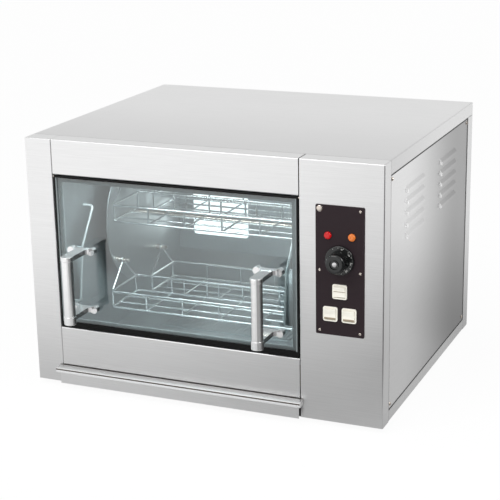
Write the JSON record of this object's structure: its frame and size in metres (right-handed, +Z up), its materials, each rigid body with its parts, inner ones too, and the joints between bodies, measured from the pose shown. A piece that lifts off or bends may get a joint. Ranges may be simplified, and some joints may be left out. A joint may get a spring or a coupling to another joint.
{
  "type": "rotisserie oven",
  "caption": "Countertop electric rotisserie oven: stainless casing, lift-up glass door with chrome pulls, rotor with hanging wire baskets, drip tray drawer and side control panel.",
  "frame": {"origin": "under the middle of the whole object's box, on the surface that its feet stand on", "axes": "+X to the right seen from the front, front towards -Y, +Z up"},
  "size_m": [0.7976, 0.76, 0.55],
  "materials": {
    "stainless": "satin brushed stainless sheet",
    "liner_steel": "satin stainless liner",
    "zinc_steel": "zinc plated, satin",
    "rubber": "matt moulded rubber",
    "screw_steel": "bright plated",
    "silicone": "matt silicone",
    "mineral_wool": "fibrous",
    "bronze": "sintered bronze",
    "motor_paint": "semi-gloss paint",
    "heater_sheath": "heat-darkened steel sheath",
    "lamp_glass": "clear lamp glass",
    "frosted_glass": "frosted, lit from behind",
    "probe_metal": "copper bulb",
    "chrome_wire": "bright chromed wire",
    "plate_paint": "dark satin paint",
    "black_plastic": "moulded, satin",
    "cream_plastic": "glossy cream moulding",
    "red_lens": "translucent red lens",
    "amber_lens": "translucent amber lens",
    "white_plastic": "moulded nylon",
    "door_glass": "clear tempered glass with a grey-green tint",
    "black_trim": "black enamelled edge frame",
    "chrome": "polished chrome"
  },
  "bodies": {
    "casing": {"base_pan": "stainless", "left_pillar": "stainless", "control_pillar": "stainless", "upper_front_panel": "stainless", "lower_front_panel": "stainless", "top_cover": "stainless", "left_side_panel": "stainless", "right_side_panel": "stainless", "rear_panel": "stainless", "cavity_left_wall": "liner_steel", "cavity_right_wall": "liner_steel", "cavity_ceiling": "liner_steel", "cavity_rear_wall": "liner_steel", "cavity_floor": "liner_steel", "cavity_front_frame": "liner_steel", "lamp_housing": "liner_steel", "corner_posts": "zinc_steel", "motor_bracket": "zinc_steel", "tray_runners": "zinc_steel", "door_hinge_blocks": "zinc_steel", "feet": "rubber", "side_screws": "screw_steel", "control_plate_screws": "screw_steel", "door_gasket": "silicone", "insulation": "mineral_wool", "left_shaft_bearing": "bronze", "right_shaft_bearing": "bronze", "gear_motor": "motor_paint", "upper_heater": "heater_sheath", "rear_heater": "heater_sheath", "lamp_bulb": "lamp_glass", "lamp_window": "frosted_glass", "thermostat_probe": "probe_metal", "guard_rods": "chrome_wire", "control_plate": "plate_paint", "thermostat_body": "black_plastic", "switch_bodies": "cream_plastic", "red_pilot_lamp": "red_lens", "amber_pilot_lamp": "amber_lens", "terminal_block": "white_plastic", "cable_gland": "black_plastic"},
    "door": {"door_glass": "door_glass", "door_trim": "black_trim", "door_hinge_pins": "screw_steel", "left_handle": "chrome", "right_handle": "chrome", "handle_screws": "screw_steel"},
    "tray": {"drip_tray": "stainless"},
    "rotor": {"rotor_shaft": "screw_steel", "left_disc": "liner_steel", "right_disc": "liner_steel", "basket_pins": "screw_steel"},
    "knob": {"thermostat_knob": "black_plastic"},
    "power_switch": {"power_rocker": "cream_plastic"},
    "heat_switch": {"heat_rocker": "cream_plastic"},
    "lamp_switch": {"lamp_rocker": "cream_plastic"},
    "hanging_basket_1": {"basket_1": "chrome_wire"},
    "hanging_basket_2": {"basket_2": "chrome_wire"},
    "hanging_basket_3": {"basket_3": "chrome_wire"},
    "hanging_basket_4": {"basket_4": "chrome_wire"}
  },
  "joints": [
    {"name": "door_hinge", "type": "hinge", "parent": "casing", "child": "door", "pos_m": [-0.056, -0.29525, 0.46975], "axis": [-1, 0, 0], "range_deg": [0, 95]},
    {"name": "tray_slide", "type": "slide", "parent": "casing", "child": "tray", "axis": [0, -1, 0], "range_m": [0, 0.42]},
    {"name": "rotor_spin", "type": "hinge", "parent": "casing", "child": "rotor", "pos_m": [-0.056, -0.003, 0.323], "axis": [1, 0, 0], "continuous": true},
    {"name": "knob_turn", "type": "hinge", "parent": "casing", "child": "knob", "pos_m": [0.30525, -0.3, 0.353], "axis": [0, 1, 0], "range_deg": [0, 300]},
    {"name": "basket_1_pivot", "type": "hinge", "parent": "rotor", "child": "hanging_basket_1", "pos_m": [-0.056, 0.10417, 0.40673], "axis": [1, 0, 0], "continuous": true},
    {"name": "basket_2_pivot", "type": "hinge", "parent": "rotor", "child": "hanging_basket_2", "pos_m": [-0.056, -0.08673, 0.43017], "axis": [1, 0, 0], "continuous": true},
    {"name": "basket_3_pivot", "type": "hinge", "parent": "rotor", "child": "hanging_basket_3", "pos_m": [-0.056, -0.11017, 0.23927], "axis": [1, 0, 0], "continuous": true},
    {"name": "basket_4_pivot", "type": "hinge", "parent": "rotor", "child": "hanging_basket_4", "pos_m": [-0.056, 0.08073, 0.21583], "axis": [1, 0, 0], "continuous": true},
    {"name": "power_press", "type": "hinge", "parent": "casing", "child": "power_switch", "pos_m": [0.30525, -0.3035, 0.2885], "axis": [-1, 0, 0], "range_deg": [0, 14]},
    {"name": "heat_press", "type": "hinge", "parent": "casing", "child": "heat_switch", "pos_m": [0.28575, -0.3035, 0.241], "axis": [-1, 0, 0], "range_deg": [0, 14]},
    {"name": "lamp_press", "type": "hinge", "parent": "casing", "child": "lamp_switch", "pos_m": [0.32475, -0.3035, 0.241], "axis": [-1, 0, 0], "range_deg": [0, 14]}
  ],
  "couplings": [
    {"joint": "basket_1_pivot", "follows": "rotor_spin", "ratio": -1},
    {"joint": "basket_2_pivot", "follows": "rotor_spin", "ratio": -1},
    {"joint": "basket_3_pivot", "follows": "rotor_spin", "ratio": -1},
    {"joint": "basket_4_pivot", "follows": "rotor_spin", "ratio": -1}
  ]
}
